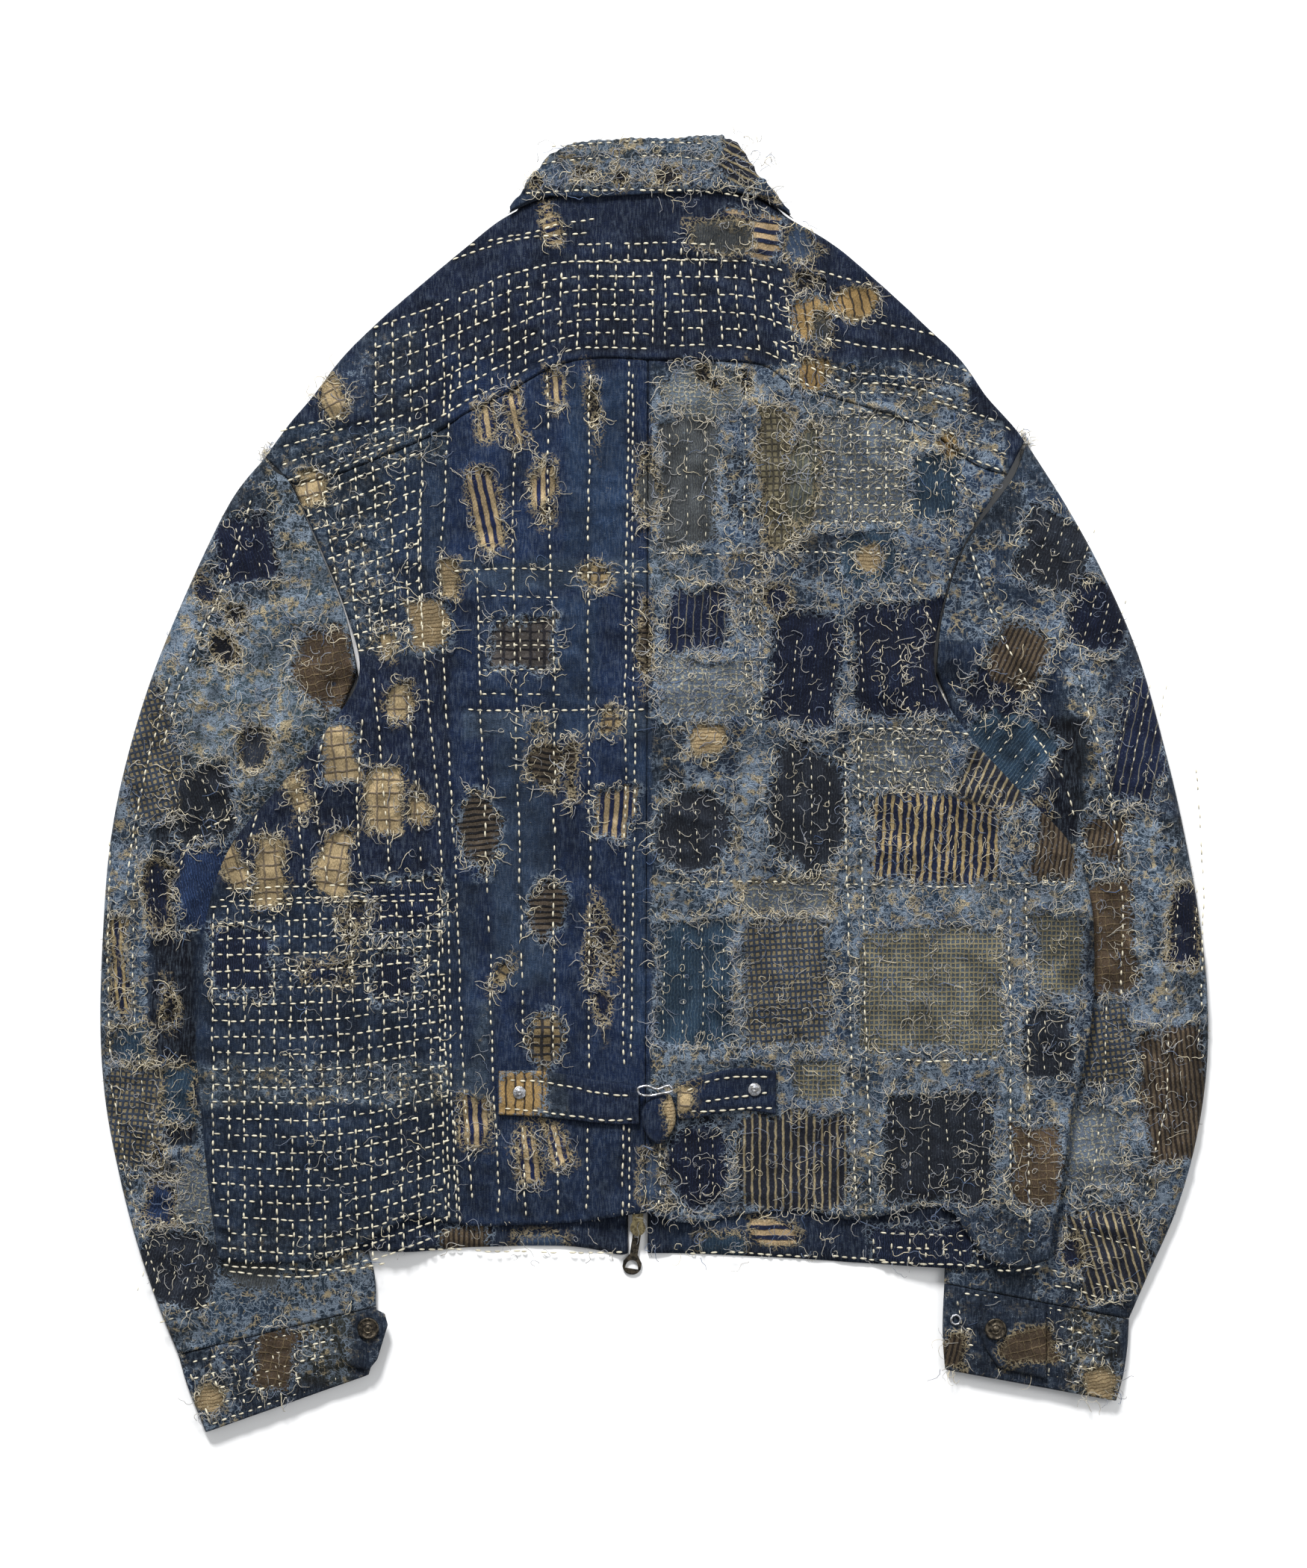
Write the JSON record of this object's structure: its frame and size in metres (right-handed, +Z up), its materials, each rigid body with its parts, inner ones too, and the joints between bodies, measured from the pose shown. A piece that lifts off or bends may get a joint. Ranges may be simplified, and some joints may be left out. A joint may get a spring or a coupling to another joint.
{
  "type": "patched boro jacket, laid flat on its front",
  "caption": "Zip-front jacket of layered indigo boro cloth laid flat with its back up: yoke, back halves, fronts, sleeves, cuffs, folded collar, cinched waist and a hanging pull tab.",
  "frame": {"origin": "on the surface that the jacket lies on, under the middle of its plan outline", "axes": "+X to the right of the laid jacket as seen from above, +Y towards its collar, +Z up from the surface"},
  "size_m": [0.741, 0.8664, 0.0206],
  "materials": {
    "navy_cloth": "dark indigo cotton with running stitch",
    "indigo_cloth": "mid indigo patched cotton",
    "washed_cloth": "worn and frayed patched cotton",
    "zip_tape": "black woven tape",
    "zip_metal": "aged brass",
    "dark_metal": "blackened brass",
    "steel": "worn nickel"
  },
  "bodies": {
    "jacket": {"yoke": "navy_cloth", "back_left": "indigo_cloth", "back_right": "washed_cloth", "front_left": "indigo_cloth", "front_right": "navy_cloth", "sleeve_left": "washed_cloth", "sleeve_right": "washed_cloth", "cuff_left": "indigo_cloth", "cuff_right": "indigo_cloth", "collar": "washed_cloth", "collar_front_left": "washed_cloth", "collar_front_right": "washed_cloth", "cinch_strap_left": "indigo_cloth", "cinch_strap_right": "indigo_cloth", "cinch_loop": "indigo_cloth", "cinch_buckle": "steel", "rivet_left": "steel", "rivet_right": "steel", "cuff_tab_left": "indigo_cloth", "cuff_tab_right": "indigo_cloth", "cuff_button_left": "dark_metal", "cuff_button_right": "dark_metal", "cuff_eyelet": "steel", "zip_tape_left": "zip_tape", "zip_tape_right": "zip_tape", "zip_chain": "zip_metal", "zip_slider": "zip_metal"},
    "pull_tab": {"zip_pull": "dark_metal"}
  },
  "joints": [
    {"name": "pull_tab_hinge", "type": "hinge", "parent": "jacket", "child": "pull_tab", "pos_m": [-0.01101, -0.29743, 0.002], "axis": [1, 0, 0], "range_deg": [0, 150]}
  ]
}
